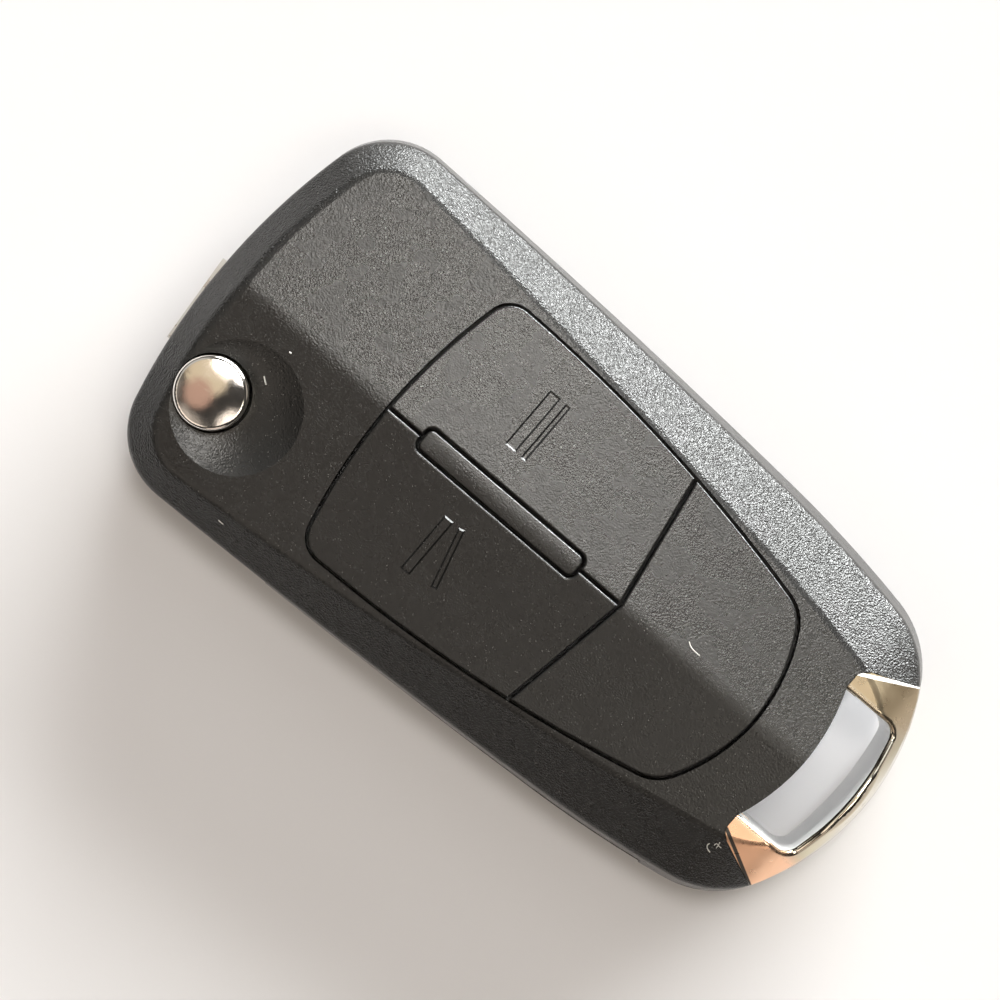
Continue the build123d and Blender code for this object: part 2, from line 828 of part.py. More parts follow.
# Key blade, drawn folded
with BuildPart() as blade:
    with BuildSketch(Plane.XY.offset(blade_low_z)):
        add(
            strip(
                [
                    along(hub_neck, blade_offset - blade_half),
                    along(blade_reach - tip_length, blade_offset - blade_half),
                    along(blade_reach, blade_offset - tip_width / 2),
                    along(blade_reach, blade_offset + tip_width / 2),
                    along(blade_reach - tip_length, blade_offset + blade_half),
                    along(hub_neck, blade_offset + blade_half),
                ]
            )
        )
    extrude(amount=blade_thickness)
    fillet(blade.edges().group_by(Axis.Z)[-1] + blade.edges().group_by(Axis.Z)[0], track_depth / 2)
    with BuildSketch(Plane.XY.offset(blade_low_z)):
        add(
            strip(
                [
                    along(blade_start, blade_offset - tang_width / 2),
                    along(hub_neck + tang_seat, blade_offset - tang_width / 2),
                    along(hub_neck + tang_seat, blade_offset + tang_width / 2),
                    along(blade_start, blade_offset + tang_width / 2),
                ]
            )
        )
    extrude(amount=blade_thickness)
    # Milled wavy track on both faces, open at the tip
    track_start = hub_neck + track_from_hub
    track_step = (blade_reach + track_runout - track_start) / track_points
    stations = [track_start + track_step * i for i in range(track_points + 1)]
    swings = [blade_offset + track_swing * sin((s - track_start) * 2 * pi / track_pitch) for s in stations]
    lower = [along(s, w - track_width / 2) for s, w in zip(stations, swings)]
    upper = [along(s, w + track_width / 2) for s, w in zip(stations, swings)]
    for base_z, depth in ((blade_low_z, track_depth), (blade_high_z, -track_depth)):
        with BuildSketch(Plane.XY.offset(base_z)):
            with BuildLine():
                Spline(*lower)
                Line(lower[-1], upper[-1])
                Spline(*upper)
                Line(upper[0], lower[0])
            make_face()
        extrude(amount=depth, mode=Mode.SUBTRACT)
    with BuildSketch(Plane.XY.offset(hub_low_z)):
        with Locations(along(roll_pin_reach, blade_offset)):
            Circle(roll_pin_radius)
    extrude(amount=hub_thickness, mode=Mode.SUBTRACT)
blade.part.label = "key_blade"
export_step(blade.part, "parts/key_blade.step")

# Hub that the blade is pinned into
cap_low_z = hub_high_z + cap_seat
spring_top_z = cap_low_z - stem_flange
spring_seat_z = spring_top_z - spring_length
bore_radius = cap_radius + cap_bore_gap
neck_half = blade_half + blade_gap

with BuildSketch() as hub_area:
    with Locations((pivot_x, pivot_y)):
        Circle(pivot_y - heel_y)
    with Locations((pivot_x, heel_y)):
        Rectangle(far, far, align=(Align.MIN, Align.MIN))
    add(inset_outline(hub_side_inset), mode=Mode.INTERSECT)
    with Locations((pivot_x, pivot_y)):
        Circle(heel_radius, mode=Mode.INTERSECT)
    with Locations((pivot_x, heel_y)):
        Rectangle(2 * heel_radius, far, align=(Align.CENTER, Align.MIN), mode=Mode.INTERSECT)
    add(blade_side(blade_offset + neck_half), mode=Mode.SUBTRACT)
    # Heel that fills the blade opening at the head and stands just proud of the case
    flush_y = pivot_y - heel_flush
    add(
        strip(
            [
                (pivot_x, heel_y),
                (head_x + hub_proud, heel_y),
                (arc_x(head_x, head_radius, flush_y), flush_y),
                (pivot_x, flush_y),
            ]
        )
    )
    add(
        strip(
            [
                along(0, blade_offset - neck_half),
                along(hub_neck, blade_offset - neck_half),
                along(hub_neck, blade_offset + neck_half),
                along(0, blade_offset + neck_half),
            ]
        )
    )

with BuildPart() as hub:
    with BuildSketch(Plane.XY.offset(hub_low_z)):
        add(hub_area.sketch)
    extrude(amount=hub_thickness)
    neck_sides = [e for e in hub.edges().filter_by(GeomType.LINE) if e.center().X < pivot_x - sweep_radius]
    chamfer([e for e in neck_sides if abs((e @ 0).Z - (e @ 1).Z) < hub_edge], hub_edge)
    with BuildSketch(Plane.XY.offset(hub_low_z)):
        with Locations((pivot_x, pivot_y)):
            Circle(trunnion_radius)
    extrude(amount=floor + trunnion_gap - hub_low_z)
    with BuildSketch(Plane.XY.offset(hub_high_z)):
        with Locations((pivot_x, pivot_y)):
            Circle(collar_radius)
    extrude(amount=collar_height)
    with BuildSketch(Plane.XY.offset(spring_seat_z)):
        with Locations((pivot_x, pivot_y)):
            Circle(bore_radius)
    extrude(amount=case_height, mode=Mode.SUBTRACT)
    with BuildSketch(Plane.XY.offset(spring_top_z - release_travel - ear_gap)):
        with Locations((pivot_x, pivot_y)):
            Rectangle(ear_width + 2 * ear_gap, 2 * (ear_radius + ear_gap))
    extrude(amount=case_height, mode=Mode.SUBTRACT)
    add(blade.part, mode=Mode.SUBTRACT)
    with BuildSketch(Plane.XY.offset(hub_low_z)):
        with Locations(along(roll_pin_reach, blade_offset)):
            Circle(roll_pin_radius)
    extrude(amount=hub_thickness, mode=Mode.SUBTRACT)
hub.part.label = "blade_hub"
export_step(hub.part, "parts/blade_hub.step")

with BuildPart() as roll_pin:
    with BuildSketch(Plane.XY.offset(hub_low_z + roll_pin_margin)):
        with Locations(along(roll_pin_reach, blade_offset)):
            Circle(roll_pin_radius)
            Circle(roll_pin_radius - roll_pin_wall, mode=Mode.SUBTRACT)
            Rectangle(roll_pin_radius, roll_pin_slot, align=(Align.MIN, Align.CENTER), mode=Mode.SUBTRACT)
    extrude(amount=hub_thickness - 2 * roll_pin_margin)
roll_pin.part.label = "blade_roll_pin"
export_step(roll_pin.part, "parts/blade_roll_pin.step")

# Release button: chromed cap on a keyed stem, with the spring under it
with BuildPart() as cap:
    with BuildSketch(Plane.XZ.offset(-pivot_y)):
        with BuildLine():
            Line((pivot_x, cap_low_z), (pivot_x + cap_radius, cap_low_z))
            Line((pivot_x + cap_radius, cap_low_z), (pivot_x + cap_radius, cap_top_z - cap_dome))
            ThreePointArc(
                (pivot_x + cap_radius, cap_top_z - cap_dome),
                (pivot_x + cap_radius / 2, cap_top_z - cap_dome / 4),
                (pivot_x, cap_top_z),
            )
            Line((pivot_x, cap_top_z), (pivot_x, cap_low_z))
        make_face()
    revolve(axis=Axis((pivot_x, pivot_y, 0), (0, 0, 1)), revolution_arc=360)
    fillet([e for e in cap.edges() if e.is_closed and e.center().Z > cap_top_z - 2 * cap_dome], cap_round)
    with BuildSketch(Plane.XY.offset(cap_low_z)):
        with Locations((pivot_x, pivot_y)):
            Circle(spigot_radius)
    extrude(amount=spigot_height, mode=Mode.SUBTRACT)
cap.part.label = "release_button_cap"
export_step(cap.part, "parts/release_button_cap.step")

with BuildPart() as stem:
    with BuildSketch(Plane.XY.offset(spring_top_z)):
        with Locations((pivot_x, pivot_y)):
            Circle(bore_radius - slide_fit)
            Rectangle(ear_width, 2 * ear_radius)
    extrude(amount=stem_flange)
    with BuildSketch(Plane.XY.offset(cap_low_z)):
        with Locations((pivot_x, pivot_y)):
            Circle(spigot_radius)
    extrude(amount=spigot_height)
    with BuildSketch(Plane.XY.offset(spring_top_z)):
        with Locations((pivot_x, pivot_y)):
            Circle(guide_radius)
    extrude(amount=-guide_length)
stem.part.label = "release_button_stem"
export_step(stem.part, "parts/release_button_stem.step")

with BuildPart() as spring:
    with BuildLine():
        wire_rise = spring_length - 1.1 * spring_wire
        coil = Helix(
            pitch=wire_rise / spring_turns,
            height=wire_rise,
            radius=spring_radius,
            center=(pivot_x, pivot_y, spring_seat_z + 0.55 * spring_wire),
        )
    with BuildSketch(Plane(origin=coil @ 0, z_dir=coil % 0)):
        Circle(spring_wire / 2)
    sweep(is_frenet=True)
spring.part.label = "release_spring"
export_step(spring.part, "parts/release_spring.step")

# Circuit board and what it carries
with BuildPart() as board:
    with BuildSketch(Plane.XY.offset(board_z)):
        add(room_low)
        offset(amount=-board_edge_gap, kind=Kind.INTERSECTION)
        with Locations(*carrier_posts, head_post):
            Circle(pin_radius + pin_fit, mode=Mode.SUBTRACT)
    extrude(amount=board_thickness)
board.part.label = "circuit_board"
export_step(board.part, "parts/circuit_board.step")

with BuildPart() as cell:
    with BuildSketch(Plane.XY.offset(cell_low_z)):
        with Locations((cell_x, cell_y)):
            Circle(cell_radius - cell_play)
    extrude(amount=cell_height)
    fillet(cell.edges().group_by(Axis.Z)[0], contact_sheet)
    with BuildSketch(Plane.XY.offset(cell_high_z)):
        with Locations((cell_x, cell_y)):
            Circle(cell_radius)
    extrude(amount=-cell_can_height)
    chamfer(cell.edges().group_by(Axis.Z)[-1], contact_sheet)
cell.part.label = "coin_cell"
export_step(cell.part, "parts/coin_cell.step")


def contact(profile, name):
    # Bent sheet strip, its profile given in X and Z
    with BuildPart() as piece:
        with BuildSketch(Plane.XZ.offset(-cell_y + contact_width / 2)):
            with BuildLine():
                Polyline(*profile, close=True)
            make_face()
        extrude(amount=-contact_width)
    piece.part.label = name
    export_step(piece.part, "parts/" + name + ".step")


leg_x = cell_x + cell_radius + cell_play + cradle_wall / 2
positive_x = cell_x - positive_reach
contact(
    [
        (cell_x - negative_reach, floor),
        (leg_x + contact_sheet, floor),
        (leg_x + contact_sheet, board_z),
        (leg_x, board_z),
        (leg_x, floor + contact_sheet),
        (cell_x - negative_reach, floor + contact_sheet),
    ],
    "negative_contact",
)
contact(
    [
        (positive_x, board_z),
        (positive_x + positive_foot, board_z),
        (positive_x + positive_foot + positive_bend, cell_high_z + contact_sheet),
        (cell_x, cell_high_z + contact_sheet),
        (cell_x, cell_high_z),
        (positive_x + positive_foot + positive_bend - contact_sheet, cell_high_z),
        (positive_x + positive_foot - contact_sheet, board_z - contact_sheet),
        (positive_x, board_z - contact_sheet),
    ],
    "positive_contact",
)

chip_x = switch_x - chip_from_switch
with BuildPart() as chip:
    with BuildSketch(Plane.XY.offset(board_top_z)):
        with Locations((chip_x, chip_y)):
            Rectangle(chip_side, chip_side)
    extrude(amount=chip_height)
    chamfer(chip.edges().group_by(Axis.Z)[-1], lead_thickness)
    with BuildSketch(Plane.XY.offset(board_top_z)):
        with Locations((chip_x, chip_y)):
            with GridLocations(chip_side + lead_reach, chip_side / (lead_count + 1), 2, lead_count):
                Rectangle(lead_reach, lead_width)
    extrude(amount=lead_thickness)
chip.part.label = "control_chip"
export_step(chip.part, "parts/control_chip.step")

# Low-frequency antenna: ferrite core with a winding, under the head of the case
coil_x = head_x - coil_from_head
coil_y = -half_width + coil_from_side
with BuildPart() as core:
    with BuildSketch(Plane.XY.offset(board_top_z)):
        with Locations((coil_x, coil_y)):
            Rectangle(coil_length, coil_side)
    extrude(amount=coil_side)
    with BuildSketch(Plane.YZ.offset(coil_x - coil_length / 2 + coil_cheek)):
        with Locations((coil_y, board_top_z + coil_side / 2)):
            Rectangle(2 * coil_side, 2 * coil_side)
            Rectangle(coil_side - 2 * coil_wall, coil_side - 2 * coil_wall, mode=Mode.SUBTRACT)
    extrude(amount=coil_length - 2 * coil_cheek, mode=Mode.SUBTRACT)
core.part.label = "antenna_core"
export_step(core.part, "parts/antenna_core.step")
with BuildPart() as winding:
    with BuildSketch(Plane.YZ.offset(coil_x - coil_length / 2 + coil_cheek)):
        with Locations((coil_y, board_top_z + coil_side / 2)):
            RectangleRounded(coil_side, coil_side, coil_corner)
            Rectangle(coil_side - 2 * coil_wall, coil_side - 2 * coil_wall, mode=Mode.SUBTRACT)
    extrude(amount=coil_length - 2 * coil_cheek)
winding.part.label = "antenna_winding"
export_step(winding.part, "parts/antenna_winding.step")

with BuildPart() as crystal:
    with BuildSketch(Plane.XY.offset(board_top_z)):
        with Locations((chip_x - crystal_from_chip, chip_y)):
            RectangleRounded(crystal_length, crystal_width, crystal_corner)
    extrude(amount=crystal_height)
    chamfer(crystal.edges().group_by(Axis.Z)[-1], crystal_edge)
crystal.part.label = "crystal_can"
export_step(crystal.part, "parts/crystal_can.step")
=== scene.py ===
import math

import bmesh
import bpy
from mathutils import Matrix, Vector
from mathutils.bvhtree import BVHTree


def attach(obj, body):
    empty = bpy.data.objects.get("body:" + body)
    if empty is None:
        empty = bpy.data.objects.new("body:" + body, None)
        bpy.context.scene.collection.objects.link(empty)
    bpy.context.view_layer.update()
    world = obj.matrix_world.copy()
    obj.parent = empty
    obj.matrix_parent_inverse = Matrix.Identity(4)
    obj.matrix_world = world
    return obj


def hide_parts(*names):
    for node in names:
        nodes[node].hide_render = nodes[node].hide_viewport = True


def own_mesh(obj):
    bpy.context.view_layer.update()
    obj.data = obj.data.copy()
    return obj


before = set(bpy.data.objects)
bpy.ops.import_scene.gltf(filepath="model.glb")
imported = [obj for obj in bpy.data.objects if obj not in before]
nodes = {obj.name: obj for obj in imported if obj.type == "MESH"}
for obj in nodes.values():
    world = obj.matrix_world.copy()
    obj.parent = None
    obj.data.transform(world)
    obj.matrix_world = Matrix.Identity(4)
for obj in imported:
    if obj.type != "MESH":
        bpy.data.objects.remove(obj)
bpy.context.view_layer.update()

MM = 0.001
Y_AXIS = (0.0, 1.0, 0.0)
Z_AXIS = (0.0, 0.0, 1.0)

# Camera, fitted to the landmarks of the photographed key, with places in mm

CAMERA_AT = (4.985, -7.46, 330.7)
CAMERA_LOOKS_AT = (4.935, -0.12, 12.0)
CAMERA_TURN = math.radians(-49.53)
CAMERA_LENS = 132.7
CAMERA_SENSOR = 36.0
CAMERA_CLIP = (0.01, 20.0)


def place_camera():
    data = bpy.data.cameras.new("camera")
    data.lens = CAMERA_LENS
    data.sensor_width = CAMERA_SENSOR
    data.clip_start, data.clip_end = CAMERA_CLIP
    camera = bpy.data.objects.new("camera", data)
    bpy.context.scene.collection.objects.link(camera)
    place = Vector(CAMERA_AT) * MM
    look = (Vector(CAMERA_LOOKS_AT) * MM - place).normalized()
    hint = Vector((math.cos(CAMERA_TURN), math.sin(CAMERA_TURN), 0.0))
    right = look.cross(hint).normalized()
    up = right.cross(look)
    camera.matrix_world = Matrix(
        (
            (right.x, up.x, -look.x, place.x),
            (right.y, up.y, -look.y, place.y),
            (right.z, up.z, -look.z, place.z),
            (0.0, 0.0, 0.0, 1.0),
        )
    )
    bpy.context.scene.camera = camera


# Shader graph helpers


class Shading:
    """A node tree with short calls for the nodes used here.

    What an input is fed is the output of another node, or a number, vector or colour."""

    def __init__(self, tree):
        self.tree = tree

    def feed(self, socket, value):
        if isinstance(value, bpy.types.NodeSocket):
            self.tree.links.new(value, socket)
        elif socket.type == "RGBA":
            socket.default_value = (*value, 1.0)
        else:
            socket.default_value = value

    def add(self, kind, inputs, **settings):
        """A new node with its settings made and its inputs fed, by name or by place."""
        node = self.tree.nodes.new("ShaderNode" + kind)
        for name, setting in settings.items():
            setattr(node, name, setting)
        for socket, value in inputs.items():
            self.feed(node.inputs[socket], value)
        return node

    def maths(self, operation, first, second=0.0):
        return self.add("Math", {0: first, 1: second}, operation=operation).outputs["Value"]

    def times(self, first, second):
        return self.maths("MULTIPLY", first, second)

    def less(self, first, second):
        return self.maths("SUBTRACT", first, second)

    def vectors(self, operation, first, second):
        return self.add("VectorMath", {0: first, 1: second}, operation=operation)

    def dot(self, first, second):
        return self.vectors("DOT_PRODUCT", first, second).outputs["Value"]

    def spread(self, value, low, high, to_low=0.0, to_high=1.0, way="LINEAR"):
        """The range from low to high brought to another range, and held at its ends.

        A constant that ends in SPAN holds low and high, or all four numbers."""
        ends = {"From Min": low, "From Max": high, "To Min": to_low, "To Max": to_high}
        inputs = {"Value": value, **ends}
        return self.add("MapRange", inputs, interpolation_type=way).outputs["Result"]

    def blend(self, factor, first, second):
        """The first colour where the factor is 0, the second where it is 1."""
        node = self.add("Mix", {"Factor": factor}, data_type="RGBA")
        colours = [socket for socket in node.inputs if socket.type == "RGBA"]
        self.feed(colours[0], first)
        self.feed(colours[1], second)
        return [socket for socket in node.outputs if socket.type == "RGBA"][0]


class Finish(Shading):
    """The node tree of a new material, with the place and the normal that it is shaded by."""

    def __init__(self, name):
        self.material = bpy.data.materials.new(name)
        self.material.use_nodes = True
        super().__init__(self.material.node_tree)
        self.shader = self.tree.nodes["Principled BSDF"]
        coordinates = self.add("TexCoord", {})
        self.place = coordinates.outputs["Object"]
        self.facing = coordinates.outputs["Normal"]

    def noise(self, size_mm, detail=2.0, roughness=0.5):
        texture = {"Scale": 1.0 / (size_mm * MM), "Detail": detail, "Roughness": roughness}
        return self.add("TexNoise", {"Vector": self.place, **texture}).outputs["Fac"]

    def cells(self, size_mm):
        """Distance to the nearest of many scattered points, as a share of their spacing."""
        inputs = {"Vector": self.place, "Scale": 1.0 / (size_mm * MM)}
        return self.add("TexVoronoi", inputs).outputs["Distance"]

    def along(self, axis):
        """The place's coordinate on an axis, in mm."""
        return self.dot(self.place, tuple(part / MM for part in axis))

    def turned_to(self, point):
        """How squarely the surface looks towards a point."""
        away = self.vectors("SUBTRACT", point, self.place).outputs["Vector"]
        unit = self.add("VectorMath", {0: away}, operation="NORMALIZE").outputs["Vector"]
        return self.dot(unit, self.facing)

    def stroke(self, start, end, width):
        """Distance in mm outside a straight bar drawn on the plan from start to end."""
        run = Vector(end) - Vector(start)
        along = run.normalized()
        across = Vector((-along.y, along.x))
        middle = (Vector(start) + Vector(end)) / 2
        reach = []
        for way, half in ((along, run.length / 2), (across, width / 2)):
            from_middle = self.less(self.along((way.x, way.y, 0.0)), middle.dot(way))
            reach.append(self.less(self.maths("ABSOLUTE", from_middle), half))
        return self.maths("MAXIMUM", *reach)

    def bump(self, height, depth_mm, under=None):
        """The normal that a relief gives, on top of another where one is under it."""
        inputs = {"Height": height, "Distance": depth_mm * MM}
        if under:
            inputs["Normal"] = under
        return self.add("Bump", inputs).outputs["Normal"]

    def shade(self, inputs):
        """Feed the shader's inputs by name, and give the finished material."""
        for name, value in inputs.items():
            self.feed(self.shader.inputs[name], value)
        return self.material


def dimmed(tone, share):
    return tuple(share * part for part in tone)


# The part of a noise's range over which a roughness drifts
NOISE_SPAN = (0.3, 0.7)
WEAR_SPAN = (0.35, 0.7)

# Black plastic

BLACK = (0.011, 0.0107, 0.0102)
MOTTLE_MM = 5.0
PLASTIC_IOR = 1.6
PLASTIC_ROUGHNESS = (0.255, 0.285)
# Dust: specks in clouds; and painted glints: a finer sparkle of pale dots in smaller clouds
SPECK_MM = 0.9
SPECK_CORE = 0.02
SPECK_TONE = (0.30, 0.29, 0.27)
SPECK_CLOUD_SPAN = (0.45, 0.7, 0.0, 0.5)
PAINTED_GLINT_MM = 0.3
PAINTED_GLINT_SPAN = (0.2, 0.06, 0.0, 0.65)
PAINTED_GLINT_TONE = (0.26, 0.255, 0.24)
PAINTED_GLINT_CLOUD_MM = 0.7
PAINTED_GLINT_CLOUD_SPAN = (0.45, 0.65)
# Grain: size and depth in mm, its share on faces that look up, and the reach of a speck
CASE_GRAIN = (0.16, 0.13, 0.27, 0.08)
KEY_GRAIN = (0.15, 0.028, 1.0, 0.06)
# The grain comes in over these heights in mm, and has this share below them
GRAIN_SPAN = (9.1, 9.6)
GRAIN_LOW = 0.08
# A face comes to look up as its normal's upward part goes over this span
FLAT_SPAN = (0.82, 0.95)
# The specular level rises twice as the surface turns to this side, where the window is
WINDOW_SIDE = (-0.35, -0.94, 0.0)
FIRST_GLOSS_SPAN = (-0.06, 0.08, 0.36, 0.5)
SECOND_GLOSS_SPAN = (0.3, 0.6, 0.0, 0.14)
# Strokes of the key symbols: start and end on the plan, width
LOCK_BARS = (((7.17, -10.1), (7.17, -4.2), 1.04), ((5.7, -10.05), (5.7, -4.15), 0.4))
UNLOCK_BARS = (((7.2, 3.98), (7.2, 9.8), 0.84), ((5.78, 3.95), (4.38, 9.28), 0.46))
LOCK_DEPTH = 0.1
UNLOCK_HEIGHT = 0.17
SYMBOL_EDGE_SPAN = (-0.08, 0.08)


def dust_and_painted_glints(graph, speck_reach):
    """Colour of the plastic: soft mottling under dust specks and painted glints of pale dots."""
    mottle = graph.noise(MOTTLE_MM, 3.0)
    colour = graph.blend(mottle, dimmed(BLACK, 0.85), dimmed(BLACK, 1.15))
    speck = graph.spread(graph.cells(SPECK_MM), speck_reach, SPECK_CORE)
    dust_and_glint_clouds = graph.spread(graph.noise(MOTTLE_MM), *SPECK_CLOUD_SPAN)
    colour = graph.blend(graph.times(speck, dust_and_glint_clouds), colour, SPECK_TONE)
    # Painted glints: pale dots that stand in for the grain's glints
    painted_glint = graph.spread(graph.cells(PAINTED_GLINT_MM), *PAINTED_GLINT_SPAN)
    dust_and_glint_clouds = graph.spread(graph.noise(PAINTED_GLINT_CLOUD_MM, 1.0), *PAINTED_GLINT_CLOUD_SPAN)
    return graph.blend(graph.times(painted_glint, dust_and_glint_clouds), colour, PAINTED_GLINT_TONE)


def eroded(graph, grain_mm, depth_mm, flat_share):
    """The normal of the eroded grain, faint on the flank, and with less depth facing up."""
    share = graph.spread(graph.along(Z_AXIS), *GRAIN_SPAN, GRAIN_LOW, 1.0)
    level = graph.dot(graph.facing, Z_AXIS)
    share = graph.times(share, graph.spread(level, *FLAT_SPAN, 1.0, flat_share))
    return graph.bump(graph.times(graph.noise(grain_mm, 1.0, 0.4), share), depth_mm)


def with_symbol(graph, normal, bars, bar_mm):
    """A key's normal with a symbol's bars raised by bar_mm, or sunk where it is negative."""
    distance = graph.stroke(*bars[0])
    for bar in bars[1:]:
        distance = graph.maths("MINIMUM", distance, graph.stroke(*bar))
    inside, outside = (1.0, 0.0) if bar_mm > 0 else (0.0, 1.0)
    step = graph.spread(distance, *SYMBOL_EDGE_SPAN, inside, outside)
    return graph.bump(step, abs(bar_mm), normal)


def grained_plastic(name, grain_mm, depth_mm, flat_share, speck_reach, bars=(), bar_mm=0.0):
    graph = Finish(name)
    normal = eroded(graph, grain_mm, depth_mm, flat_share)
    if bars:
        normal = with_symbol(graph, normal, bars, bar_mm)
    to_window = graph.dot(graph.facing, WINDOW_SIDE)
    first_gloss = graph.spread(to_window, *FIRST_GLOSS_SPAN)
    second_gloss = graph.spread(to_window, *SECOND_GLOSS_SPAN)
    return graph.shade(
        {
            "Base Color": dust_and_painted_glints(graph, speck_reach),
            "Roughness": graph.spread(graph.noise(2.5, 3.0), *NOISE_SPAN, *PLASTIC_ROUGHNESS),
            "Normal": normal,
            "IOR": PLASTIC_IOR,
            "Specular IOR Level": graph.maths("ADD", first_gloss, second_gloss),
        }
    )


# Bright plating

CAP_TONE = (0.83, 0.79, 0.74)
CAP_ROUGHNESS = (0.07, 0.12)
LOOP_ROUGHNESS = (0.07, 0.13)
# Pairs of painted reflection tones that the loop's plating drifts between: pale on top, darker on
# the slopes, taupe and coppery on the two arms, and gold on the side
TOP_REFLECTION_TONES = ((0.84, 0.79, 0.68), (0.90, 0.85, 0.74))
SLOPE_REFLECTION_TONES = ((0.43, 0.37, 0.29), (0.49, 0.425, 0.34))
COPPER_REFLECTION_TONES = ((0.93, 0.56, 0.36), (0.98, 0.62, 0.41))
TAUPE_REFLECTION_TONES = ((0.37, 0.29, 0.19), (0.42, 0.335, 0.225))
SIDE_REFLECTION_TONES = ((0.36, 0.31, 0.19), (0.61, 0.55, 0.37))
# Painted shade: a dark line along the loop's belt
BELT_PAINTED_SHADE = (0.15, 0.12, 0.08)
# Painted pale reflection and painted glow on the loop's inside wall
INSIDE_PAINTED_REFLECTION = (0.80, 0.80, 0.78)
INSIDE_PAINTED_GLOW = (0.93, 0.95, 1.0)
INSIDE_PAINTED_GLOW_LEVEL = 0.12
# Middle of the loop's opening, and height of its widest line, in mm
RING_MIDDLE = (-32.0, 0.0, 6.5)
BELT_HEIGHT = 6.1
# Where one painted tone goes over into the next, in mm: away from the belt's painted shade, along
# Y for the side's gold and the arms' taupe and copper reflections, and out from the middle line
# where the arms start
BELT_SHADE_SPAN = (0.4, 0.9)
GOLD_REFLECTION_SPAN = (-6.0, 1.0)
COPPER_REFLECTION_SPAN = (5.5, 7.5)
ARM_SPAN = (6.3, 7.8)
# The same by how far the normal points up, and for the inside by how it points to the middle
TOP_SPAN = (0.8, 0.95)
SLOPE_SPAN = (0.4, 0.6)
WALL_SPAN = (0.08, 0.16)
UPRIGHT_SPAN = (0.25, 0.5, 1.0, 0.0)
INWARD_SPAN = (0.05, 0.3)
# Inside the loop the plating is made duller and less metallic, under a painted pale reflection
# and a painted glow, and its arms are a little rougher
INSIDE_ROUGHER = 0.35
INSIDE_LESS_METAL = 0.85
ARM_ROUGHER = 0.2
# Painted edges of the arms against the case, a highlight on one arm and a shadow in the gap on
# the other: start and end on the plan, width, and tone
PAINTED_SEAM_HIGHLIGHT_AND_SHADOW = (
    (((-28.2, -8.75), (-33.9, -11.62), 0.3), (0.93, 0.91, 0.88)),
    (((-28.3, 8.72), (-33.9, 11.6), 0.3), (0.03, 0.025, 0.02)),
)
PAINTED_SEAM_SPAN = (-0.02, 0.05, 1.0, 0.0)


def worn_shine(graph, roughness):
    """Roughness of bright plating with hairline wear."""
    return graph.spread(graph.noise(1.2, 4.0), *WEAR_SPAN, *roughness)


def cap_plating():
    """Bright plating with a faint ripple."""
    graph = Finish("chrome")
    return graph.shade(
        {
            "Base Color": graph.blend(graph.noise(3.0, 3.0), dimmed(CAP_TONE, 0.96), CAP_TONE),
            "Metallic": 1.0,
            "Roughness": worn_shine(graph, CAP_ROUGHNESS),
            "Normal": graph.bump(graph.noise(0.9, 4.0), 0.006),
        }
    )


def loop_body_painted_reflections(graph, cloud, level, aside):
    """Painted reflections and shade on the loop away from its arms: pale top, darker slopes,
    golden side, and a painted dark line of shade at the belt.
    """
    side = graph.blend(graph.spread(aside, *GOLD_REFLECTION_SPAN), *SIDE_REFLECTION_TONES)
    from_belt = graph.maths("ABSOLUTE", graph.less(graph.along(Z_AXIS), BELT_HEIGHT))
    side = graph.blend(graph.spread(from_belt, *BELT_SHADE_SPAN), BELT_PAINTED_SHADE, side)
    slopes = graph.blend(graph.spread(level, *SLOPE_SPAN), side, graph.blend(cloud, *SLOPE_REFLECTION_TONES))
    return graph.blend(graph.spread(level, *TOP_SPAN), slopes, graph.blend(cloud, *TOP_REFLECTION_TONES))


def loop_arm_painted_reflections(graph, cloud, aside):
    """Painted reflections on the loop's arms: taupe on one side of the key and coppery on the
    other.
    """
    taupe = graph.blend(cloud, *TAUPE_REFLECTION_TONES)
    copper = graph.blend(cloud, *COPPER_REFLECTION_TONES)
    return graph.blend(graph.spread(aside, *COPPER_REFLECTION_SPAN), taupe, copper)


def loop_plating():
    graph = Finish("loop_chrome")
    cloud = graph.noise(3.0, 3.0)
    level = graph.dot(graph.facing, Z_AXIS)
    aside = graph.along(Y_AXIS)
    # Painted reflections and shade, by how the surface faces and where it lies
    colour = loop_body_painted_reflections(graph, cloud, level, aside)

    not_wall = graph.spread(level, *WALL_SPAN)
    on_arm = graph.spread(graph.maths("ABSOLUTE", aside), *ARM_SPAN)
    on_arm = graph.times(on_arm, not_wall)
    # Painted reflections on the arms
    colour = graph.blend(on_arm, colour, loop_arm_painted_reflections(graph, cloud, aside))

    inside = graph.spread(graph.turned_to(dimmed(RING_MIDDLE, MM)), *INWARD_SPAN)
    inside = graph.times(inside, graph.spread(graph.maths("ABSOLUTE", level), *UPRIGHT_SPAN))
    # A painted pale reflection on the inside wall
    colour = graph.blend(inside, colour, INSIDE_PAINTED_REFLECTION)

    rough = worn_shine(graph, LOOP_ROUGHNESS)
    rough = graph.maths("ADD", rough, graph.times(inside, INSIDE_ROUGHER))
    rough = graph.maths("ADD", rough, graph.times(on_arm, ARM_ROUGHER))
    metal = graph.less(1.0, graph.times(inside, INSIDE_LESS_METAL))
    # Painted highlight along one arm's edge and painted shadow in the gap by the other
    for painted_seam, tone in PAINTED_SEAM_HIGHLIGHT_AND_SHADOW:
        line = graph.times(graph.spread(graph.stroke(*painted_seam), *PAINTED_SEAM_SPAN), not_wall)
        colour = graph.blend(line, colour, tone)
        metal = graph.times(metal, graph.less(1.0, line))
    return graph.shade(
        {
            "Base Color": colour,
            "Metallic": metal,
            "Roughness": rough,
            "Normal": graph.bump(graph.noise(1.6), 0.003),
            # The inside wall glows faintly, as painted light
            "Emission Color": INSIDE_PAINTED_GLOW,
            "Emission Strength": graph.times(inside, INSIDE_PAINTED_GLOW_LEVEL),
        }
    )


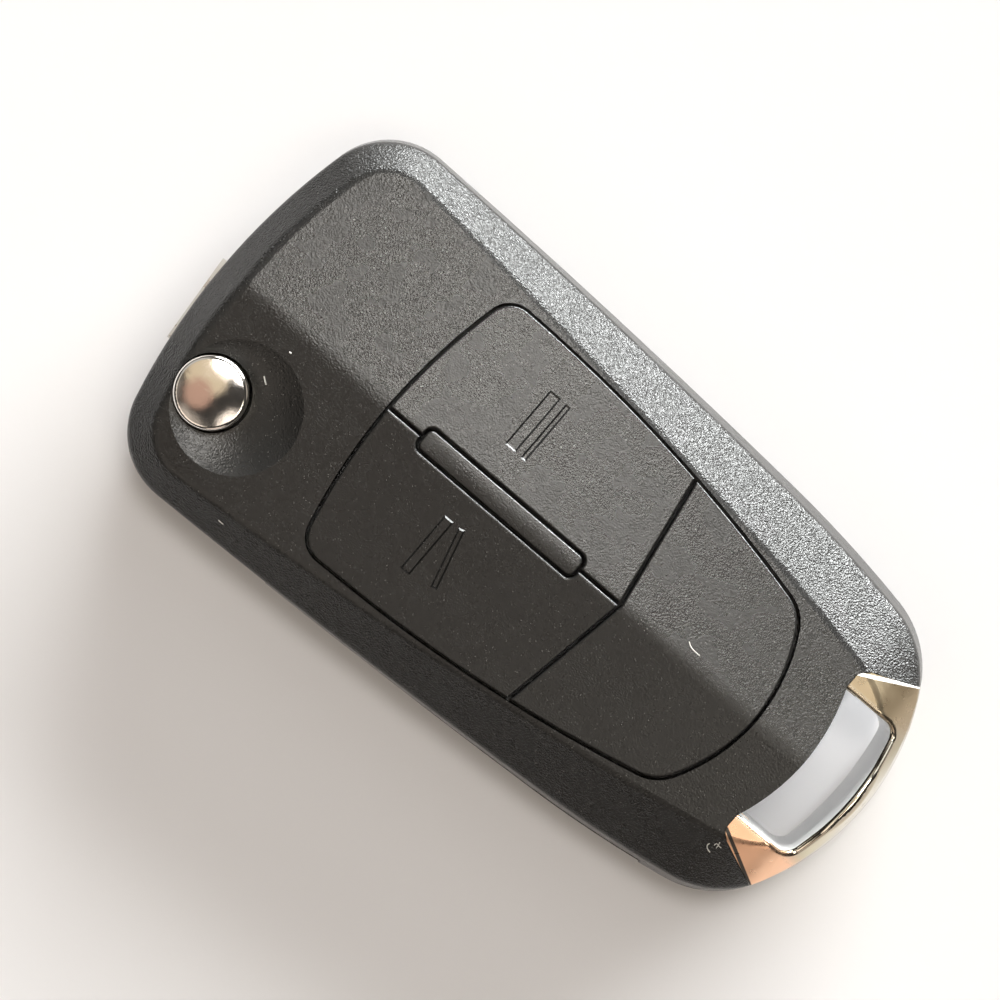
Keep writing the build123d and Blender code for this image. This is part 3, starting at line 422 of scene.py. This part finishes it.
# Plainer finishes

SHINE_DRIFT = 0.06
# Share of metal, and size and depth of the grain in mm
MATT_NICKEL = (1.0, 0.3, 0.002)


def plain_finish(name, tone, shine, metal=0.0, grain_mm=0.2, depth_mm=0.004):
    """A finish of one tone and roughness, both with a slight drift, over a fine grain."""
    graph = Finish(name)
    drift = (shine - SHINE_DRIFT, shine + SHINE_DRIFT)
    return graph.shade(
        {
            "Base Color": graph.blend(graph.noise(2.0, 3.0), dimmed(tone, 0.85), tone),
            "Metallic": metal,
            "Roughness": graph.spread(graph.noise(1.0, 3.0), *NOISE_SPAN, *drift),
            "Normal": graph.bump(graph.noise(grain_mm), depth_mm),
        }
    )


case_finish = grained_plastic("case_grain", *CASE_GRAIN)
key_finish = grained_plastic("key_grain", *KEY_GRAIN)
switch_finish = plain_finish("switch_can", (0.60, 0.60, 0.58), 0.35, 1.0)
plunger_finish = plain_finish("plunger_plastic", (0.05, 0.05, 0.05), 0.4)
contact_finish = plain_finish("contact_tin", (0.66, 0.62, 0.54), 0.35, 1.0)
lint_finish = plain_finish("lint", (0.72, 0.70, 0.66), 0.7)
FINISHES = {
    "front_shell": case_finish,
    "rear_shell": case_finish,
    "lock_button": grained_plastic("lock_key_grain", *KEY_GRAIN, LOCK_BARS, -LOCK_DEPTH),
    "unlock_button": grained_plastic("unlock_key_grain", *KEY_GRAIN, UNLOCK_BARS, UNLOCK_HEIGHT),
    "divider_bar": key_finish,
    "tail_panel": key_finish,
    "key_ring_loop": loop_plating(),
    "release_button_cap": cap_plating(),
    "blade_hub": plain_finish("satin_nickel", (0.50, 0.495, 0.48), 0.3, *MATT_NICKEL),
    "pad_carrier": plain_finish("inner_plastic", (0.10, 0.10, 0.10), 0.5),
    "release_button_stem": plain_finish("stem_plastic", (0.14, 0.14, 0.13), 0.5),
    "key_blade": plain_finish("blade_nickel", (0.62, 0.61, 0.58), 0.32, *MATT_NICKEL),
    "blade_roll_pin": plain_finish("pin_steel", (0.45, 0.45, 0.45), 0.35, 1.0),
    "release_spring": plain_finish("spring_steel", (0.50, 0.50, 0.50), 0.3, 1.0),
    "circuit_board": plain_finish("board_mask", (0.02, 0.14, 0.06), 0.35),
    "lock_switch": switch_finish,
    "unlock_switch": switch_finish,
    "lock_switch_plunger": plunger_finish,
    "unlock_switch_plunger": plunger_finish,
    "coin_cell": plain_finish("cell_steel", (0.66, 0.66, 0.65), 0.28, 1.0),
    "positive_contact": contact_finish,
    "negative_contact": contact_finish,
    "control_chip": plain_finish("chip_resin", (0.03, 0.03, 0.03), 0.5),
    "crystal_can": plain_finish("crystal_tin", (0.68, 0.68, 0.66), 0.3, 1.0),
    "antenna_core": plain_finish("ferrite", (0.06, 0.055, 0.055), 0.5),
    "antenna_winding": plain_finish("copper_wire", (0.55, 0.26, 0.12), 0.35, 1.0, 0.1, 0.03),
}
for node, finish in FINISHES.items():
    piece = nodes[node]
    piece.data.materials.clear()
    piece.data.materials.append(finish)


# Release spring: the real one shortens as the button goes down, and a copy of it takes the rigid
# one's place


def soften_spring():
    """A copy of the spring with a mesh of its own, on the blade unit in place of the hidden rigid
    one, because the rigid one can't shorten.
    """
    rigid = nodes["release_spring"]
    spring = bpy.data.objects.new("release_spring_coil", rigid.data.copy())
    bpy.context.scene.collection.objects.link(spring)
    spring.matrix_world = rigid.matrix_world
    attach(spring, "blade_unit")
    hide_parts("release_spring")
    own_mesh(spring)


# Lint: name, piece and body it lies on, line on the plan, half its thickness

LINT = (
    ("lint_by_cap", "front_shell", "case", ((27.39, 4.96), (27.09, 5.22), (26.76, 5.44)), 0.06),
    ("lint_dot", "front_shell", "case", ((27.03, 1.95), (26.78, 1.91)), 0.07),
    (
        "lint_on_shoulder",
        "front_shell",
        "case",
        ((22.4, 17.1), (22.1, 17.12), (21.82, 17.1)),
        0.05,
    ),
    (
        "lint_by_loop",
        "front_shell",
        "case",
        ((-28.18, 10.72), (-28.11, 10.99), (-28.34, 11.22), (-28.75, 11.32)),
        0.05,
    ),
    (
        "lint_curl",
        "front_shell",
        "case",
        ((-28.58, 10.61), (-28.6, 10.28), (-28.91, 10.38), (-29.19, 10.37)),
        0.04,
    ),
    (
        "lint_cross",
        "front_shell",
        "case",
        ((-28.89, 10.69), (-28.83, 10.28), (-28.75, 10.06)),
        0.04,
    ),
    (
        "lint_on_panel",
        "tail_panel",
        "case",
        ((-15.34, -1.46), (-15.7, -1.22), (-16.19, -1.11), (-16.84, -1.13)),
        0.045,
    ),
)
THREAD_SIDES = 6
# Thickness of a thread's ends against its middle, and its height over the surface in radii
THREAD_END = 0.55
THREAD_LIFT = 0.8
# A height in metres above the whole key, from which a thread's places are dropped on it
DROP_FROM = 0.03


def round_off(points, times=2):
    """A line with its corners cut, its ends kept."""
    for _ in range(times):
        cut = [points[0]]
        for first, second in zip(points, points[1:]):
            cut += [first.lerp(second, 0.25), first.lerp(second, 0.75)]
        points = cut + [points[-1]]
    return points


def on_surface(mesh, plan, lift):
    """The places above the points of a plan that are a lift over a mesh."""
    surface = BVHTree.FromPolygons(
        [vertex.co for vertex in mesh.vertices], [tuple(face.vertices) for face in mesh.polygons]
    )
    places = []
    for spot in plan:
        above = Vector((spot.x * MM, spot.y * MM, DROP_FROM))
        hit = surface.ray_cast(above, Vector((0.0, 0.0, -1.0)))[0]
        places.append(hit + Vector((0.0, 0.0, lift)))
    return places


def thread_rings(shape, line, radius):
    """Rings of a thread's corners round each place of its line, smaller at its ends."""
    rings = []
    last = len(line) - 1
    for index, spot in enumerate(line):
        way = (line[min(index + 1, last)] - line[max(index - 1, 0)]).normalized()
        across = way.cross(Vector((0.0, 0.0, 1.0))).normalized()
        up = across.cross(way)
        thin = THREAD_END if index in (0, last) else 1.0
        ring = []
        for side in range(THREAD_SIDES):
            turn = 2 * math.pi * side / THREAD_SIDES
            reach = across * math.cos(turn) + up * math.sin(turn)
            ring.append(shape.verts.new(spot + reach * radius * MM * thin))
        rings.append(ring)
    return rings


def lay_fibre(name, node, body, plan, radius):
    """A thread that lies on a piece along a line drawn on the plan."""
    plan = round_off([Vector(point) for point in plan])
    line = on_surface(nodes[node].data, plan, THREAD_LIFT * radius * MM)
    shape = bmesh.new()
    rings = thread_rings(shape, line, radius)
    for first, second in zip(rings, rings[1:]):
        for side in range(THREAD_SIDES):
            following = (side + 1) % THREAD_SIDES
            shape.faces.new((first[side], first[following], second[following], second[side]))
    shape.faces.new(rings[0][::-1])
    shape.faces.new(rings[-1])
    bmesh.ops.recalc_face_normals(shape, faces=shape.faces)
    made = bpy.data.meshes.new(name)
    shape.to_mesh(made)
    shape.free()
    made.materials.append(lint_finish)
    fibre = bpy.data.objects.new(name, made)
    bpy.context.scene.collection.objects.link(fibre)
    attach(fibre, body)


# Floor

FLOOR_HALF = 3.0
PAPER_ROUGHNESS = 0.9
# Pairs of tones of the paper: for the light that it throws back, and as it is seen
FLOOR_LIT = ((0.48, 0.475, 0.47), (0.51, 0.505, 0.50))
FLOOR_SEEN = ((0.715, 0.70, 0.71), (0.74, 0.725, 0.735))
# A painted glow on the paper inside the loop stands in for the light that the loop's bright walls
# throw there, more towards the window
OPENING = ((-32.25, -8.5), (-32.25, 8.5), 5.5)
OPENING_EDGE_SPAN = (-1.0, 0.8, 1.0, 0.0)
OPENING_PAINTED_GLOW_SPAN = (-7.0, 8.0, 0.52, 0.1)
OPENING_PAINTED_GLOW = (0.94, 0.97, 1.0)


def floor_paper():
    graph = Finish("floor_paper")
    rays = graph.add("LightPath", {}).outputs
    in_view = rays["Is Camera Ray"]
    for ray in ("Is Glossy Ray", "Is Transmission Ray"):
        in_view = graph.maths("MAXIMUM", in_view, rays[ray])
    cloud = graph.noise(60.0, 3.0)
    lit = graph.blend(cloud, *FLOOR_LIT)
    seen = graph.blend(cloud, *FLOOR_SEEN)
    # Painted light: the paper inside the loop glows
    painted_glow = graph.spread(graph.stroke(*OPENING), *OPENING_EDGE_SPAN)
    painted_glow = graph.times(painted_glow, graph.spread(graph.along(Y_AXIS), *OPENING_PAINTED_GLOW_SPAN))
    return graph.shade(
        {
            "Base Color": graph.blend(in_view, lit, seen),
            "Roughness": PAPER_ROUGHNESS,
            "Normal": graph.bump(graph.noise(1.5, 3.0), 0.01),
            "Emission Color": OPENING_PAINTED_GLOW,
            "Emission Strength": graph.times(painted_glow, in_view),
        }
    )


def build_floor():
    mesh = bpy.data.meshes.new("floor")
    corners = ((-1, -1), (1, -1), (1, 1), (-1, 1))
    spots = [(FLOOR_HALF * x, FLOOR_HALF * y, 0.0) for x, y in corners]
    mesh.from_pydata(spots, [], [(0, 1, 2, 3)])
    mesh.materials.append(floor_paper())
    floor = bpy.data.objects.new("floor", mesh)
    bpy.context.scene.collection.objects.link(floor)


# Surroundings

ROOM = (0.045, 0.042, 0.039)
# Patches: azimuth, elevation, radius where full, radius where gone, radiance
PATCHES = (
    (80.0, 54.0, 12.0, 22.0, (1.25, 1.1, 0.95)),
    (30.0, 56.0, 7.0, 16.0, (0.9, 0.82, 0.72)),
    (-15.0, 42.0, 12.0, 28.0, (0.6, 0.58, 0.55)),
    (-92.0, 44.0, 12.0, 23.0, (1.1, 1.1, 1.08)),
    (133.0, 22.0, 8.0, 20.0, (0.9, 0.76, 0.66)),
    (-135.0, 12.0, 8.0, 20.0, (0.46, 0.42, 0.37)),
    (-15.0, 79.0, 8.0, 12.0, (0.8, 0.66, 0.47)),
    (38.0, 79.0, 3.5, 9.0, (0.6, 0.38, 0.29)),
    (150.0, 72.0, 4.0, 11.0, (2.3, 2.05, 1.8)),
    (180.0, 64.0, 7.0, 14.0, (3.4, 3.2, 2.7)),
    (-62.0, 74.0, 3.5, 8.0, (15.4, 14.8, 13.8)),
    (-92.0, 74.0, 3.5, 8.0, (13.6, 13.3, 12.8)),
)
# The window is a patch too, cut to a band of heights: its middle, half and softness
WINDOW = (-84.0, 12.0, 17.0, 32.0)
WINDOW_BAND = (math.sin(math.radians(12.5)), 0.17, 0.06)
WINDOW_RADIANCE = (33.0, 33.9, 33.6)


def toward(azimuth, elevation):
    """Direction at a compass angle from +X and a height angle."""
    turn = math.radians(azimuth)
    lift = math.radians(elevation)
    level = math.cos(lift)
    return (level * math.cos(turn), level * math.sin(turn), math.sin(lift))


class Sky(Shading):
    """Surroundings shaded by the direction they are seen in."""

    def __init__(self):
        world = bpy.data.worlds.new("surroundings")
        bpy.context.scene.world = world
        world.use_nodes = True
        super().__init__(world.node_tree)
        self.way = self.add("TexCoord", {}).outputs["Generated"]

    def ramp(self, value, low, high):
        return self.spread(value, low, high, way="SMOOTHSTEP")

    def lobe(self, azimuth, elevation, inner, outer):
        """Full within the inner angle round a direction, and gone beyond the outer."""
        near = self.dot(self.way, toward(azimuth, elevation))
        return self.ramp(near, math.cos(math.radians(outer)), math.cos(math.radians(inner)))

    def band(self, middle, half, soft):
        """Full where the way's upward part is within half of middle."""
        height = self.dot(self.way, Z_AXIS)
        rising = self.ramp(height, middle - half - soft, middle - half + soft)
        falling = self.ramp(height, middle + half + soft, middle + half - soft)
        return self.times(rising, falling)


def build_world():
    sky = Sky()
    colour = ROOM
    for *place, radiance in PATCHES:
        colour = sky.blend(sky.lobe(*place), colour, radiance)
    window = sky.times(sky.band(*WINDOW_BAND), sky.lobe(*WINDOW))
    colour = sky.blend(window, colour, WINDOW_RADIANCE)
    sky.feed(sky.tree.nodes["Background"].inputs["Color"], colour)


soften_spring()
for fibre in LINT:
    lay_fibre(*fibre)
place_camera()
build_floor()
build_world()

bpy.context.scene.view_settings.view_transform = "Standard"
